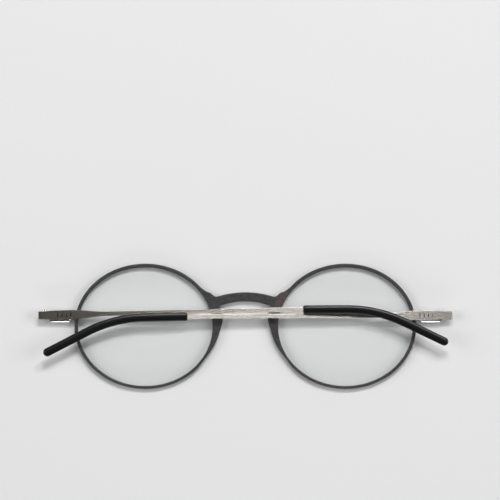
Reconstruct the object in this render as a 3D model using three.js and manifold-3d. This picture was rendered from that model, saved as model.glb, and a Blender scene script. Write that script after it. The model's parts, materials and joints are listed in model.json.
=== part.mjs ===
// Reading glasses with round lenses and flat steel temples, folded and lying on their front face.
// Millimetres. +X runs along the front, +Y towards the brow, +Z towards the wearer.
// The origin is the middle of the bridge on its front face. "Left" is the -X side.
import * as THREE from 'three';
import { mergeVertices } from 'three/addons/utils/BufferGeometryUtils.js';
import Module from 'manifold-3d';

const wasm = await Module();
wasm.setup();

const DEGREE = Math.PI / 180;
const MERGE_DISTANCE = 1e-5;
// How far a cutting body reaches past the surface that it cuts.
const OVERSHOOT = 1;

// Front frame. Heights (Y) are measured from the line through both lens centres.
const LENS_X = 34.4;
const OPENING_HALF_WIDTH = 23.1;
const OPENING_HALF_HEIGHT = 20.4;
const OPENING_RISE = 0.15;
const RIM_HALF_WIDTH = 24.3;
const RIM_HALF_HEIGHT = 21.5;
const RIM_RISE = 0.3;
const FRONT_THICKNESS = 2.2;
const FRONT_CHAMFER = 0.25;
const BRIDGE_TOP = 11.95;
const BRIDGE_UNDERSIDE = 8.85;
const BRIDGE_MIDDLE = (BRIDGE_TOP + BRIDGE_UNDERSIDE) / 2;
const BRIDGE_TOP_RADIUS = 32.7;
const BRIDGE_UNDER_RADIUS = 25.0;
const BRIDGE_VALLEY_X = 10.1;
const BRIDGE_UNDER_END_X = 8.9;
const RIM_START_ANGLE = 141 * DEGREE;
const RIM_END_ANGLE = -139 * DEGREE;
const RIM_STEPS = 56;

// Lenses: flat at the back, gently domed at the front, held by their edge in a groove of the rim.
const GROOVE_DEPTH = 0.45;
const GROOVE_FRONT = 0.5;
const GROOVE_BACK = 1.85;
const LENS_EDGE_GAP = 0.1;
const LENS_FRONT_RADIUS = 400;
const LENS_FRONT_Z = 0.1;
const LENS_BACK_Z = GROOVE_BACK - LENS_EDGE_GAP;

// Hinges. AXIS is the middle of the hinge pin, in the frame of the lens-centre line.
const AXIS_X = 68.9;
const AXIS_Y = 4.1;
const AXIS_Z = 2.2;
const PIN_RADIUS = 0.42;
const PIN_BORE_RADIUS = 0.52;
const KNUCKLE_RADIUS = 0.85;
const KNUCKLE_HALF_HEIGHT = 0.45;
const KNUCKLE_GAP = 0.1;
const SEAT_GAP = 0.02;
const SCREW_HEAD_RADIUS = 0.7;
const SCREW_HEAD_HEIGHT = 0.6;
const SCREW_HEAD_CHAMFER = 0.12;
const SCREW_SLOT_WIDTH = 0.25;
const SCREW_SLOT_DEPTH = 0.25;
const ROUND_STEPS = 24;

// Endpieces of the front frame and the steel leaf riveted to the back of each.
const ENDPIECE_HALF_HEIGHT = 1.35;
const ENDPIECE_END_X = 69.6;
const ENDPIECE_CORNER = 0.5;
const LEAF_BED_Z = 1.8;
const LEAF_BED_START_X = 59.6;
const KNUCKLE_BED_Z = 1.15;
const KNUCKLE_BED_START_X = 67.6;
const LEAF_THICKNESS = 0.6;
const LEAF_START_X = 60.1;
const LEAF_END_X = 67.3;
const LEAF_TOP = 1.25;
const LEAF_BOTTOM = -2.3;
const LEAF_CORNER = 0.6;
const RIVET_X = [62.0, 65.4];
const RIVET_RADIUS = 0.4;
const RIVET_HOLE_RADIUS = 0.5;
const RIVET_HEAD_RADIUS = 0.75;
const RIVET_HEAD_HEIGHT = 0.28;
const RIVET_LENGTH = 1.2;
const RIVET_END_GAP = 0.1;

// Temples, in their own frame: u from the hinge axis to the tip, v towards the brow, w out of the
// face that shows on the outside when worn.
const BAND_THICKNESS = 0.5;
const BAND_INSIDE = 1.0;
const BAND_MIDDLE = BAND_INSIDE + BAND_THICKNESS / 2;
const ROOT_END_U = -2.1;
const ROOT_END_HALF_WIDTH = 1.375;
const ROOT_HALF_WIDTH = 1.575;
const ROOT_FULL_U = 4;
const TAPER_START_U = 9.5;
const TAPER_END_U = 22;
const BAND_HALF_WIDTH = 0.75;
const BAND_WIDENING_START_U = 70;
const BAND_SLEEVE_HALF_WIDTH = 0.82;
const ROOT_CORNER = 0.35;
const TICK_COUNT = 4;
const TICK_FIRST_U = 4.6;
const TICK_SPACING = 1.5;
const TICK_LENGTH = 1.3;
const TICK_WIDTH = 0.26;
const TICK_DEPTH = 0.08;
const SLEEVE_START_U = 88.8;
const SLEEVE_HALF_WIDTH = 1.45;
const SLEEVE_THICKNESS = 1.3;
const SLEEVE_ROUNDING = 0.5;
const SLEEVE_CORNER = 0.9;
const SLEEVE_TIP_FLAT = 0.1;
const CORE_END_LENGTH = 132;
const CORE_HALF_WIDTH = 0.6;
const CORE_SHOULDER = 1.2;
const CORE_SHOULDER_SLOPE = 0.4;
const POCKET_GAP = 0.12;

// Centre line of a temple: straight, a slight droop, a round bend behind the ear, straight to the tip.
const DROOP_START = 84;
const DROOP_ANGLE = 1.1 * DEGREE;
const BEND_START = 104;
const BEND_RADIUS = 44;
const BEND_ANGLE = 27 * DEGREE;
const TEMPLE_LENGTH = 140.6;
const BEND_END = BEND_START + BEND_RADIUS * (BEND_ANGLE - DROOP_ANGLE);

// Folded position: each tip lies on the other temple's root, and play in the hinges sets the tilts.
const FOLD_RISE = 1.5 * DEGREE;
const LEFT_TILT = 1.35 * DEGREE;
const RIGHT_TILT = -0.2 * DEGREE;

const STEEL = { color: 0xb9b3a8, roughness: 0.35, metalness: 1.0 };
const POLISHED_STEEL = { color: 0xd0cfcf, roughness: 0.18, metalness: 1.0 };
const FRAME_PLASTIC = { color: 0x474747, roughness: 0.5, metalness: 0.0 };
const LENS_PLASTIC = { color: 0xf4f6f7, roughness: 0.03, metalness: 0.0, transparent: true, opacity: 0.25 };
const SLEEVE_RUBBER = { color: 0x1c1c1c, roughness: 0.55, metalness: 0.0 };

const glasses = new THREE.Group();

function toSolid(geometry) {
  const bare = geometry.clone();
  bare.deleteAttribute('normal');
  bare.deleteAttribute('uv');
  const merged = mergeVertices(bare, MERGE_DISTANCE);
  return new wasm.Manifold(new wasm.Mesh({
    numProp: 3,
    vertProperties: new Float32Array(merged.attributes.position.array),
    triVerts: new Uint32Array(merged.index.array),
  }));
}

function toGeometry(solid) {
  const mesh = solid.getMesh();
  const geometry = new THREE.BufferGeometry();
  geometry.setAttribute('position', new THREE.BufferAttribute(mesh.vertProperties, 3));
  geometry.setIndex(new THREE.BufferAttribute(mesh.triVerts, 1));
  geometry.computeVertexNormals();
  return geometry;
}

// A mirror image in X, with the triangles turned so that they still face out.
function mirrored(geometry) {
  const copy = geometry.clone();
  copy.scale(-1, 1, 1);
  const index = copy.index.array;
  for (let i = 0; i < index.length; i += 3) {
    const first = index[i];
    index[i] = index[i + 1];
    index[i + 1] = first;
  }
  return copy;
}

function sideOf(geometry, sign) {
  return sign < 0 ? geometry : mirrored(geometry);
}

function addPiece(parent, name, geometry, look) {
  const mesh = new THREE.Mesh(geometry, new THREE.MeshStandardMaterial(look));
  mesh.name = name;
  parent.add(mesh);
}

// Flat plate with the given outline, from z = low to z = high.
function plate(shape, low, high) {
  const geometry = new THREE.ExtrudeGeometry(shape, { depth: high - low, bevelEnabled: false });
  geometry.translate(0, 0, low);
  return toSolid(geometry);
}

function box(lowX, highX, lowY, highY, lowZ, highZ) {
  const geometry = new THREE.BoxGeometry(highX - lowX, highY - lowY, highZ - lowZ);
  geometry.translate((lowX + highX) / 2, (lowY + highY) / 2, (lowZ + highZ) / 2);
  return toSolid(geometry);
}

function disc(radius, low, high) {
  const geometry = new THREE.CylinderGeometry(radius, radius, high - low, ROUND_STEPS);
  geometry.translate(0, (low + high) / 2, 0);
  return geometry;
}

function roundedBox(lowX, highX, lowY, highY, corner) {
  const shape = new THREE.Shape();
  shape.absarc(highX - corner, highY - corner, corner, 0, 90 * DEGREE);
  shape.absarc(lowX + corner, highY - corner, corner, 90 * DEGREE, 180 * DEGREE);
  shape.absarc(lowX + corner, lowY + corner, corner, 180 * DEGREE, 270 * DEGREE);
  shape.absarc(highX - corner, lowY + corner, corner, 270 * DEGREE, 360 * DEGREE);
  return new THREE.Shape(shape.getPoints(3));
}

// ---- front frame ----

function ellipsePoints(centreX, extra) {
  const curve = new THREE.EllipseCurve(
    centreX, OPENING_RISE, OPENING_HALF_WIDTH + extra, OPENING_HALF_HEIGHT + extra, 0, 2 * Math.PI);
  return curve.getPoints(RIM_STEPS).slice(0, RIM_STEPS);
}

function rimArc(startAngle, endAngle) {
  const clockwise = true;
  return new THREE.EllipseCurve(
    LENS_X, RIM_RISE, RIM_HALF_WIDTH, RIM_HALF_HEIGHT, startAngle, endAngle, clockwise);
}

function rimAngleAt(height) {
  return Math.asin((height - RIM_RISE) / RIM_HALF_HEIGHT);
}

// The +X half of the front's outline, clockwise from the top of the bridge to its underside.
function halfFrontOutline() {
  const topCentreY = BRIDGE_TOP - BRIDGE_TOP_RADIUS;
  const topEndAngle = Math.acos(BRIDGE_VALLEY_X / BRIDGE_TOP_RADIUS);
  const bridgeTop = new THREE.EllipseCurve(
    0, topCentreY, BRIDGE_TOP_RADIUS, BRIDGE_TOP_RADIUS, 90 * DEGREE, topEndAngle, true);
  const underCentreY = BRIDGE_UNDERSIDE - BRIDGE_UNDER_RADIUS;
  const underEndAngle = Math.acos(BRIDGE_UNDER_END_X / BRIDGE_UNDER_RADIUS);
  const bridgeUnder = new THREE.EllipseCurve(
    0, underCentreY, BRIDGE_UNDER_RADIUS, BRIDGE_UNDER_RADIUS, underEndAngle, 90 * DEGREE, false);
  const endpieceTop = AXIS_Y + ENDPIECE_HALF_HEIGHT;
  const endpieceBottom = AXIS_Y - ENDPIECE_HALF_HEIGHT;
  const upperRim = rimArc(RIM_START_ANGLE, rimAngleAt(endpieceTop));
  const lowerRim = rimArc(rimAngleAt(endpieceBottom), RIM_END_ANGLE);
  const shoulder = new THREE.SplineCurve([
    bridgeTop.getPoint(1),
    new THREE.Vector2(10.9, 10.75),
    new THREE.Vector2(12.0, 11.8),
    new THREE.Vector2(13.5, 12.3),
    upperRim.getPoint(0),
  ]);
  const noseFlare = new THREE.SplineCurve([
    lowerRim.getPoint(1),
    new THREE.Vector2(11.5, -7.7),
    new THREE.Vector2(9.7, -4.2),
    new THREE.Vector2(8.65, -1.0),
    new THREE.Vector2(7.75, 2.2),
    new THREE.Vector2(8.0, 5.2),
    bridgeUnder.getPoint(0),
  ]);
  const corner = ENDPIECE_CORNER;
  const upperCorner = new THREE.EllipseCurve(
    ENDPIECE_END_X - corner, endpieceTop - corner, corner, corner, 90 * DEGREE, 0, true);
  const lowerCorner = new THREE.EllipseCurve(
    ENDPIECE_END_X - corner, endpieceBottom + corner, corner, corner, 0, -90 * DEGREE, true);
  return [
    ...bridgeTop.getPoints(8),
    ...shoulder.getPoints(8).slice(1),
    ...upperRim.getPoints(24).slice(1),
    ...upperCorner.getPoints(3),
    ...lowerCorner.getPoints(3),
    ...lowerRim.getPoints(28),
    ...noseFlare.getPoints(14).slice(1),
    ...bridgeUnder.getPoints(7).slice(1),
  ];
}

function frontFrame() {
  const half = halfFrontOutline();
  const otherHalf = half.slice(1, -1).reverse().map((p) => new THREE.Vector2(-p.x, p.y));
  const outline = new THREE.Shape([...half, ...otherHalf]);
  outline.holes.push(new THREE.Path(ellipsePoints(LENS_X, 0)));
  outline.holes.push(new THREE.Path(ellipsePoints(-LENS_X, 0)));
  const blank = new THREE.ExtrudeGeometry(outline, {
    depth: FRONT_THICKNESS - 2 * FRONT_CHAMFER,
    bevelThickness: FRONT_CHAMFER,
    bevelSize: FRONT_CHAMFER,
    bevelOffset: -FRONT_CHAMFER,
    bevelSegments: 1,
  });
  blank.translate(0, 0, FRONT_CHAMFER);
  const holeBottom = LEAF_BED_Z - RIVET_LENGTH - RIVET_END_GAP;
  let solid = toSolid(blank);
  for (const sign of [-1, 1]) {
    const groove = new THREE.Shape(ellipsePoints(sign * LENS_X, GROOVE_DEPTH));
    solid = solid.subtract(plate(groove, GROOVE_FRONT, GROOVE_BACK));
    solid = solid.subtract(endpieceBed(sign));
    for (const rivetX of RIVET_X) {
      const hole = disc(RIVET_HOLE_RADIUS, holeBottom, FRONT_THICKNESS + OVERSHOOT);
      hole.rotateX(90 * DEGREE);
      hole.translate(sign * rivetX, AXIS_Y, 0);
      solid = solid.subtract(toSolid(hole));
    }
  }
  return toGeometry(solid);
}

// The stepped space cut into the back of an endpiece, for the leaf and then for the knuckles.
function endpieceBed(sign) {
  const outside = ENDPIECE_END_X + OVERSHOOT;
  const height = ENDPIECE_HALF_HEIGHT + OVERSHOOT;
  const top = FRONT_THICKNESS + OVERSHOOT;
  const leafBed = box(LEAF_BED_START_X, outside, AXIS_Y - height, AXIS_Y + height, LEAF_BED_Z, top);
  const knuckleBed = box(
    KNUCKLE_BED_START_X, outside, AXIS_Y - height, AXIS_Y + height, KNUCKLE_BED_Z, top);
  const bed = toGeometry(leafBed.add(knuckleBed));
  return toSolid(sideOf(bed, -sign));
}

// ---- lenses ----

function lens(sign) {
  const radius = OPENING_HALF_WIDTH + GROOVE_DEPTH;
  const sphereZ = LENS_FRONT_Z + LENS_FRONT_RADIUS;
  const domeAngle = Math.asin(radius / LENS_FRONT_RADIUS);
  const rings = 5;
  const profile = [];
  for (let i = 0; i <= rings; i++) {
    const angle = domeAngle * (i / rings);
    const x = LENS_FRONT_RADIUS * Math.sin(angle);
    const y = sphereZ - LENS_FRONT_RADIUS * Math.cos(angle);
    profile.push(new THREE.Vector2(x, y));
  }
  profile.push(new THREE.Vector2(radius, LENS_BACK_Z));
  profile.push(new THREE.Vector2(0, LENS_BACK_Z));
  const blank = new THREE.LatheGeometry(profile, RIM_STEPS);
  blank.rotateX(90 * DEGREE);
  blank.translate(sign * LENS_X, OPENING_RISE, 0);
  const edge = new THREE.Shape(ellipsePoints(sign * LENS_X, GROOVE_DEPTH - LENS_EDGE_GAP));
  return toGeometry(toSolid(blank).intersect(plate(edge, -OVERSHOOT, LENS_BACK_Z + OVERSHOOT)));
}

// ---- hinge leaves, rivets and screws ----

// Built for the +X side, with its heights measured from the hinge axis.
function hingeLeaf() {
  const leafBottom = LEAF_BED_Z + SEAT_GAP;
  const leafTop = leafBottom + LEAF_THICKNESS;
  const outline = roundedBox(LEAF_START_X, LEAF_END_X, LEAF_BOTTOM, LEAF_TOP, LEAF_CORNER);
  const tongueStart = LEAF_END_X - LEAF_CORNER;
  const tongue = box(
    tongueStart, AXIS_X, -KNUCKLE_HALF_HEIGHT, KNUCKLE_HALF_HEIGHT, leafBottom, leafTop);
  const knuckle = disc(KNUCKLE_RADIUS, -KNUCKLE_HALF_HEIGHT, KNUCKLE_HALF_HEIGHT);
  knuckle.translate(AXIS_X, 0, AXIS_Z);
  const bore = disc(PIN_BORE_RADIUS, -KNUCKLE_HALF_HEIGHT - OVERSHOOT, KNUCKLE_HALF_HEIGHT + OVERSHOOT);
  bore.translate(AXIS_X, 0, AXIS_Z);
  let solid = plate(outline, leafBottom, leafTop);
  solid = solid.add(tongue).add(toSolid(knuckle)).subtract(toSolid(bore));
  for (const rivetX of RIVET_X) {
    const hole = disc(RIVET_HOLE_RADIUS, leafBottom - OVERSHOOT, leafTop + OVERSHOOT);
    hole.rotateX(90 * DEGREE);
    hole.translate(rivetX, 0, 0);
    solid = solid.subtract(toSolid(hole));
  }
  return toGeometry(solid);
}

// A rivet with a low domed head, standing on the leaf.
function leafRivet() {
  const seat = LEAF_BED_Z + LEAF_THICKNESS + 2 * SEAT_GAP;
  const foot = LEAF_BED_Z - RIVET_LENGTH;
  const profile = [new THREE.Vector2(0, foot), new THREE.Vector2(RIVET_RADIUS, foot)];
  profile.push(new THREE.Vector2(RIVET_RADIUS, seat));
  const domeSteps = 3;
  for (let i = 0; i <= domeSteps; i++) {
    const angle = 90 * DEGREE * (i / domeSteps);
    const x = i < domeSteps ? RIVET_HEAD_RADIUS * Math.cos(angle) : 0;
    profile.push(new THREE.Vector2(x, seat + RIVET_HEAD_HEIGHT * Math.sin(angle)));
  }
  const geometry = new THREE.LatheGeometry(profile, 16);
  geometry.rotateX(90 * DEGREE);
  return geometry;
}

// The screw that is the hinge pin, along v, with its slotted head on the brow side.
function hingeScrew() {
  const seat = ROOT_END_HALF_WIDTH + SEAT_GAP;
  const headTop = seat + SCREW_HEAD_HEIGHT;
  const profile = [
    new THREE.Vector2(0, -ROOT_END_HALF_WIDTH),
    new THREE.Vector2(PIN_RADIUS, -ROOT_END_HALF_WIDTH),
    new THREE.Vector2(PIN_RADIUS, seat),
    new THREE.Vector2(SCREW_HEAD_RADIUS, seat),
    new THREE.Vector2(SCREW_HEAD_RADIUS, headTop - SCREW_HEAD_CHAMFER),
    new THREE.Vector2(SCREW_HEAD_RADIUS - SCREW_HEAD_CHAMFER, headTop),
    new THREE.Vector2(0, headTop),
  ];
  const slotHalf = SCREW_SLOT_WIDTH / 2;
  const slot = box(
    -OVERSHOOT, OVERSHOOT, headTop - SCREW_SLOT_DEPTH, headTop + OVERSHOOT, -slotHalf, slotHalf);
  return toGeometry(toSolid(new THREE.LatheGeometry(profile, ROUND_STEPS)).subtract(slot));
}

// ---- temples ----

// Place and direction of the centre line at a distance along it.
function centreLine(distance) {
  if (distance <= DROOP_START) {
    return { u: distance, v: 0, angle: 0 };
  }
  const droopLength = Math.min(distance, BEND_START) - DROOP_START;
  let u = DROOP_START + droopLength * Math.cos(DROOP_ANGLE);
  let v = -droopLength * Math.sin(DROOP_ANGLE);
  if (distance <= BEND_START) {
    return { u, v, angle: -DROOP_ANGLE };
  }
  const turn = (Math.min(distance, BEND_END) - BEND_START) / BEND_RADIUS;
  const angle = DROOP_ANGLE + turn;
  u += BEND_RADIUS * (Math.sin(angle) - Math.sin(DROOP_ANGLE));
  v -= BEND_RADIUS * (Math.cos(DROOP_ANGLE) - Math.cos(angle));
  const straight = Math.max(distance - BEND_END, 0);
  return { u: u + straight * Math.cos(angle), v: v - straight * Math.sin(angle), angle: -angle };
}

function offsetPoint(distance, side) {
  const at = centreLine(distance);
  return new THREE.Vector2(at.u - side * Math.sin(at.angle), at.v + side * Math.cos(at.angle));
}

// A strip along the centre line. halfWidths is a list of [distance, half width].
function strip(halfWidths) {
  const upper = halfWidths.map(([distance, half]) => offsetPoint(distance, half));
  const lower = halfWidths.map(([distance, half]) => offsetPoint(distance, -half)).reverse();
  return new THREE.Shape([...lower, ...upper]);
}

function between(from, to, count) {
  const list = [];
  for (let i = 0; i <= count; i++) {
    list.push(from + (to - from) * (i / count));
  }
  return list;
}

function smoothMix(low, high, start, end, at) {
  return low + (high - low) * THREE.MathUtils.smoothstep(at, start, end);
}

function bandHalfWidth(distance) {
  if (distance < ROOT_FULL_U) {
    return smoothMix(ROOT_END_HALF_WIDTH, ROOT_HALF_WIDTH, 0, ROOT_FULL_U, distance);
  }
  if (distance < BAND_WIDENING_START_U) {
    return smoothMix(ROOT_HALF_WIDTH, BAND_HALF_WIDTH, TAPER_START_U, TAPER_END_U, distance);
  }
  return smoothMix(
    BAND_HALF_WIDTH, BAND_SLEEVE_HALF_WIDTH, BAND_WIDENING_START_U, SLEEVE_START_U, distance);
}

function coreHalfWidths(extra, start) {
  const bendSteps = between(BEND_START, BEND_END, 8);
  return [start, ...bendSteps, CORE_END_LENGTH + extra].map((d) => [d, CORE_HALF_WIDTH + extra]);
}

// The steel of a temple: root with two knuckles, band, and the narrow core that runs in the sleeve.
function templeBand() {
  const cornerU = ROOT_END_U + ROOT_CORNER;
  const rootEnd = between(0, 90, 3).map((degrees) => [
    cornerU - ROOT_CORNER * Math.cos(degrees * DEGREE),
    ROOT_END_HALF_WIDTH - ROOT_CORNER + ROOT_CORNER * Math.sin(degrees * DEGREE),
  ]);
  const bandEnd = SLEEVE_START_U + CORE_SHOULDER;
  const body = [
    ...between(0, ROOT_FULL_U, 3),
    ...between(TAPER_START_U, TAPER_END_U, 7),
    ...between(BAND_WIDENING_START_U, bandEnd, 3),
  ].map((d) => [d, bandHalfWidth(d)]);
  const outline = strip([...rootEnd, ...body, ...coreHalfWidths(0, bandEnd + CORE_SHOULDER_SLOPE)]);
  let solid = plate(outline, BAND_INSIDE, BAND_INSIDE + BAND_THICKNESS);
  const innerEnd = KNUCKLE_HALF_HEIGHT + KNUCKLE_GAP;
  const overlap = BAND_THICKNESS / 2;
  for (const [low, high] of [[innerEnd, ROOT_END_HALF_WIDTH], [-ROOT_END_HALF_WIDTH, -innerEnd]]) {
    solid = solid.add(toSolid(disc(KNUCKLE_RADIUS, low, high)));
    solid = solid.add(box(-KNUCKLE_RADIUS, KNUCKLE_RADIUS, low, high, 0, BAND_INSIDE + overlap));
  }
  const bore = disc(PIN_BORE_RADIUS, -ROOT_HALF_WIDTH - OVERSHOOT, ROOT_HALF_WIDTH + OVERSHOOT);
  solid = solid.subtract(toSolid(bore));
  for (let i = 0; i < TICK_COUNT; i++) {
    solid = solid.subtract(engravedTick(TICK_FIRST_U + i * TICK_SPACING));
  }
  return toGeometry(solid);
}

// One of the short grooves cut across the outside of the root.
function engravedTick(u) {
  const face = BAND_INSIDE + BAND_THICKNESS;
  const halfWidth = TICK_WIDTH / 2;
  const halfLength = TICK_LENGTH / 2;
  return box(
    u - halfWidth, u + halfWidth, -halfLength, halfLength, face - TICK_DEPTH, face + OVERSHOOT);
}

function sleeve() {
  const start = SLEEVE_START_U;
  const corner = SLEEVE_CORNER;
  const straightHalf = SLEEVE_HALF_WIDTH - corner;
  const startCorner = between(0, 90, 4).map((degrees) => [
    start + corner - corner * Math.cos(degrees * DEGREE),
    straightHalf + corner * Math.sin(degrees * DEGREE),
  ]);
  const tipCentre = TEMPLE_LENGTH - SLEEVE_HALF_WIDTH;
  const tip = between(90, 0, 6).map((degrees) => [
    tipCentre + SLEEVE_HALF_WIDTH * Math.cos(degrees * DEGREE),
    SLEEVE_HALF_WIDTH * Math.sin(degrees * DEGREE),
  ]);
  tip.pop();
  tip.push([TEMPLE_LENGTH, SLEEVE_TIP_FLAT]);
  const bend = between(BEND_START, BEND_END, 14).map((d) => [d, SLEEVE_HALF_WIDTH]);
  const blank = new THREE.ExtrudeGeometry(strip([...startCorner, ...bend, ...tip]), {
    depth: SLEEVE_THICKNESS - 2 * SLEEVE_ROUNDING,
    bevelThickness: SLEEVE_ROUNDING,
    bevelSize: SLEEVE_ROUNDING,
    bevelOffset: -SLEEVE_ROUNDING,
    bevelSegments: 3,
  });
  blank.translate(0, 0, BAND_MIDDLE - SLEEVE_THICKNESS / 2 + SLEEVE_ROUNDING);
  const low = BAND_INSIDE - POCKET_GAP;
  const high = BAND_INSIDE + BAND_THICKNESS + POCKET_GAP;
  const mouthHalf = BAND_SLEEVE_HALF_WIDTH + POCKET_GAP;
  const mouthStart = start - OVERSHOOT;
  const mouthEnd = start + CORE_SHOULDER + CORE_SHOULDER_SLOPE + POCKET_GAP;
  const mouth = [[mouthStart, mouthHalf], [mouthEnd, mouthHalf]];
  const pocket = plate(strip(coreHalfWidths(POCKET_GAP, mouthStart)), low, high);
  return toGeometry(toSolid(blank).subtract(pocket).subtract(plate(strip(mouth), low, high)));
}

// One temple with its hinge screw, folded across the front.
function addTemple(side, sign, tilt) {
  const group = new THREE.Group();
  group.position.set(sign * AXIS_X, AXIS_Y, AXIS_Z);
  group.rotation.set(0, sign * FOLD_RISE, -sign * tilt, 'ZYX');
  addPiece(group, `temple_band_${side}`, sideOf(templeBand(), sign), STEEL);
  addPiece(group, `temple_sleeve_${side}`, sideOf(sleeve(), sign), SLEEVE_RUBBER);
  addPiece(group, `hinge_screw_${side}`, sideOf(hingeScrew(), sign), POLISHED_STEEL);
  glasses.add(group);
}

function addFrontHardware(side, sign) {
  const group = new THREE.Group();
  group.position.y = AXIS_Y;
  addPiece(group, `hinge_leaf_${side}`, sideOf(hingeLeaf(), -sign), POLISHED_STEEL);
  const places = { inner: RIVET_X[0], outer: RIVET_X[1] };
  for (const [place, x] of Object.entries(places)) {
    const rivet = leafRivet();
    rivet.translate(sign * x, 0, 0);
    addPiece(group, `leaf_rivet_${side}_${place}`, rivet, POLISHED_STEEL);
  }
  glasses.add(group);
  addPiece(glasses, `lens_${side}`, lens(sign), LENS_PLASTIC);
}

addPiece(glasses, 'front_frame', frontFrame(), FRAME_PLASTIC);
addFrontHardware('left', -1);
addFrontHardware('right', 1);
addTemple('left', -1, LEFT_TILT);
addTemple('right', 1, RIGHT_TILT);
glasses.position.y = -BRIDGE_MIDDLE;

export default glasses;
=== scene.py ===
import json
import math

import bpy
import numpy as np
from mathutils import Matrix, Vector
from mathutils.geometry import delaunay_2d_cdt


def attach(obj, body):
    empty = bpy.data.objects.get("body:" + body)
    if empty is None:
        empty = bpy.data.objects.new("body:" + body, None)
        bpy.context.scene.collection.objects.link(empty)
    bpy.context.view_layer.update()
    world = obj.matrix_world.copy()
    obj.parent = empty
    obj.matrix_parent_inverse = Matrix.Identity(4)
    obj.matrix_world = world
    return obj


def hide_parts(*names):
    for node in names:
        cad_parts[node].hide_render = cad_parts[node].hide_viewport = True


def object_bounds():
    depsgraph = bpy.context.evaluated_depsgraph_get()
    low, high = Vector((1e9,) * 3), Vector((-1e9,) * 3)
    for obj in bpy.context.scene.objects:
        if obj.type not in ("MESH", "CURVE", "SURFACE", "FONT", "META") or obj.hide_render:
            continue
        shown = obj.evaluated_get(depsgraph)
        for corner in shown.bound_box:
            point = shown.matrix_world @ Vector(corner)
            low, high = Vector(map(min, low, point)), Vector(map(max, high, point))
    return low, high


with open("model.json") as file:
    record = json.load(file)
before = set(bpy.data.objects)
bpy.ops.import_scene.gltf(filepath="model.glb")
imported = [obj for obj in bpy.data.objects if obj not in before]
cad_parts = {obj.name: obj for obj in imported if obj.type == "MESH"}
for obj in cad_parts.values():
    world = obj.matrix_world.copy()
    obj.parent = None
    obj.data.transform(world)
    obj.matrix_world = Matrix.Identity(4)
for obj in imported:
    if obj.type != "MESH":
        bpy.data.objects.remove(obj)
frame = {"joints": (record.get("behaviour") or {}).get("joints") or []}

cad_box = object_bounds()

MM = 0.001
# A face whose normal is at least this near to the Z axis, before it is placed, is shaded flat.
FLAT_NORMAL = 0.99999
# Points of a cap nearer to one another than this are taken as one.
MERGE_DISTANCE = 1e-7
# How far a cutting solid reaches past what it cuts.
OVERSHOOT = 1
QUARTER_TURN = math.pi / 2
FULL_TURN = 2 * math.pi

# Front moulding.
LENS_X = 34.4
OPENING = (23.1, 20.4)
OPENING_RISE = 0.15
RIM = (24.3, 21.5)
RIM_RISE = 0.3
RIM_START = math.radians(141)
RIM_END = math.radians(-139)
FRONT_THICKNESS = 2.2
FRONT_ROUNDING = 0.38
FLAT_FACE_SHARE = 1.15
BRIDGE_TOP = 11.95
BRIDGE_UNDERSIDE = 8.85
BRIDGE_TOP_RADIUS = 32.7
BRIDGE_UNDER_RADIUS = 25.0
BRIDGE_VALLEY_X = 10.1
BRIDGE_UNDER_END_X = 8.9
SHOULDER = [(10.9, 10.75), (12.0, 11.8), (13.5, 12.3)]
NOSE_FLARE = [(11.5, -7.7), (9.7, -4.2), (8.65, -1.0), (7.75, 2.2), (8.0, 5.2)]
OUTLINE_SPACING = 0.35
OUTLINE_SOFTENING = 3
BRIDGE_STEPS = 120
SHOULDER_STEPS = 20
RIM_STEPS = 500
FLARE_STEPS = 30
CORNER_STEPS = 12
OPENING_STEPS = 400

# Lenses and the groove that holds them.
GROOVE_DEPTH = 0.45
GROOVE_FRONT = 0.5
GROOVE_BACK = 1.85
LENS_EDGE_GAP = 0.1
LENS_FRONT_RADIUS = 400
LENS_FRONT_Z = 0.1
LENS_BACK_Z = 1.75
LENS_EDGE_BEVEL = 0.12
LENS_STEPS = 180
LENS_RINGS = 25
LENS_FIRST_RING = 0.04

# Hinges.
PIN_RADIUS = 0.42
BORE_RADIUS = 0.5
KNUCKLE_RADIUS = 0.85
KNUCKLE_HALF_HEIGHT = 0.45
KNUCKLE_GAP = 0.1
KNUCKLE_FILLET = 0.25
KNUCKLE_EDGE = 0.07
KNUCKLE_STEPS = 32
FILLET_STEPS = 6
SEAT_GAP = 0.02
SCREW_HEAD_RADIUS = 0.7
SCREW_HEAD_HEIGHT = 0.6
SCREW_HEAD_EDGE = 0.16
SCREW_EDGE_STEPS = 5
SCREW_SLOT = (0.25, 0.25)

# Endpieces, the leaves on them and the rivets.
AXIS_X = 68.9
AXIS_Y = 4.1
AXIS_Z = 2.2
ENDPIECE_HALF_HEIGHT = 1.35
ENDPIECE_END_X = 69.6
ENDPIECE_CORNER = 0.5
LEAF_BED_Z = 1.8
LEAF_BED_START_X = 59.6
KNUCKLE_BED_Z = 1.15
KNUCKLE_BED_START_X = 67.6
LEAF_X = (60.1, 67.3)
LEAF_HEIGHTS = (-2.3, 1.25)
LEAF_THICKNESS = 0.6
LEAF_CORNER = 0.6
LEAF_EDGE = 0.1
LEAF_CHAMFER = (0.25, 0.17)
RIVET_X = {"inner": 62.0, "outer": 65.4}
RIVET_RADIUS = 0.4
RIVET_HEAD = (0.75, 0.28)
RIVET_LENGTH = 1.2
DOME_STEPS = 9
DOME_TIP = 0.01
HOLE_GAP = 0.02

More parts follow.
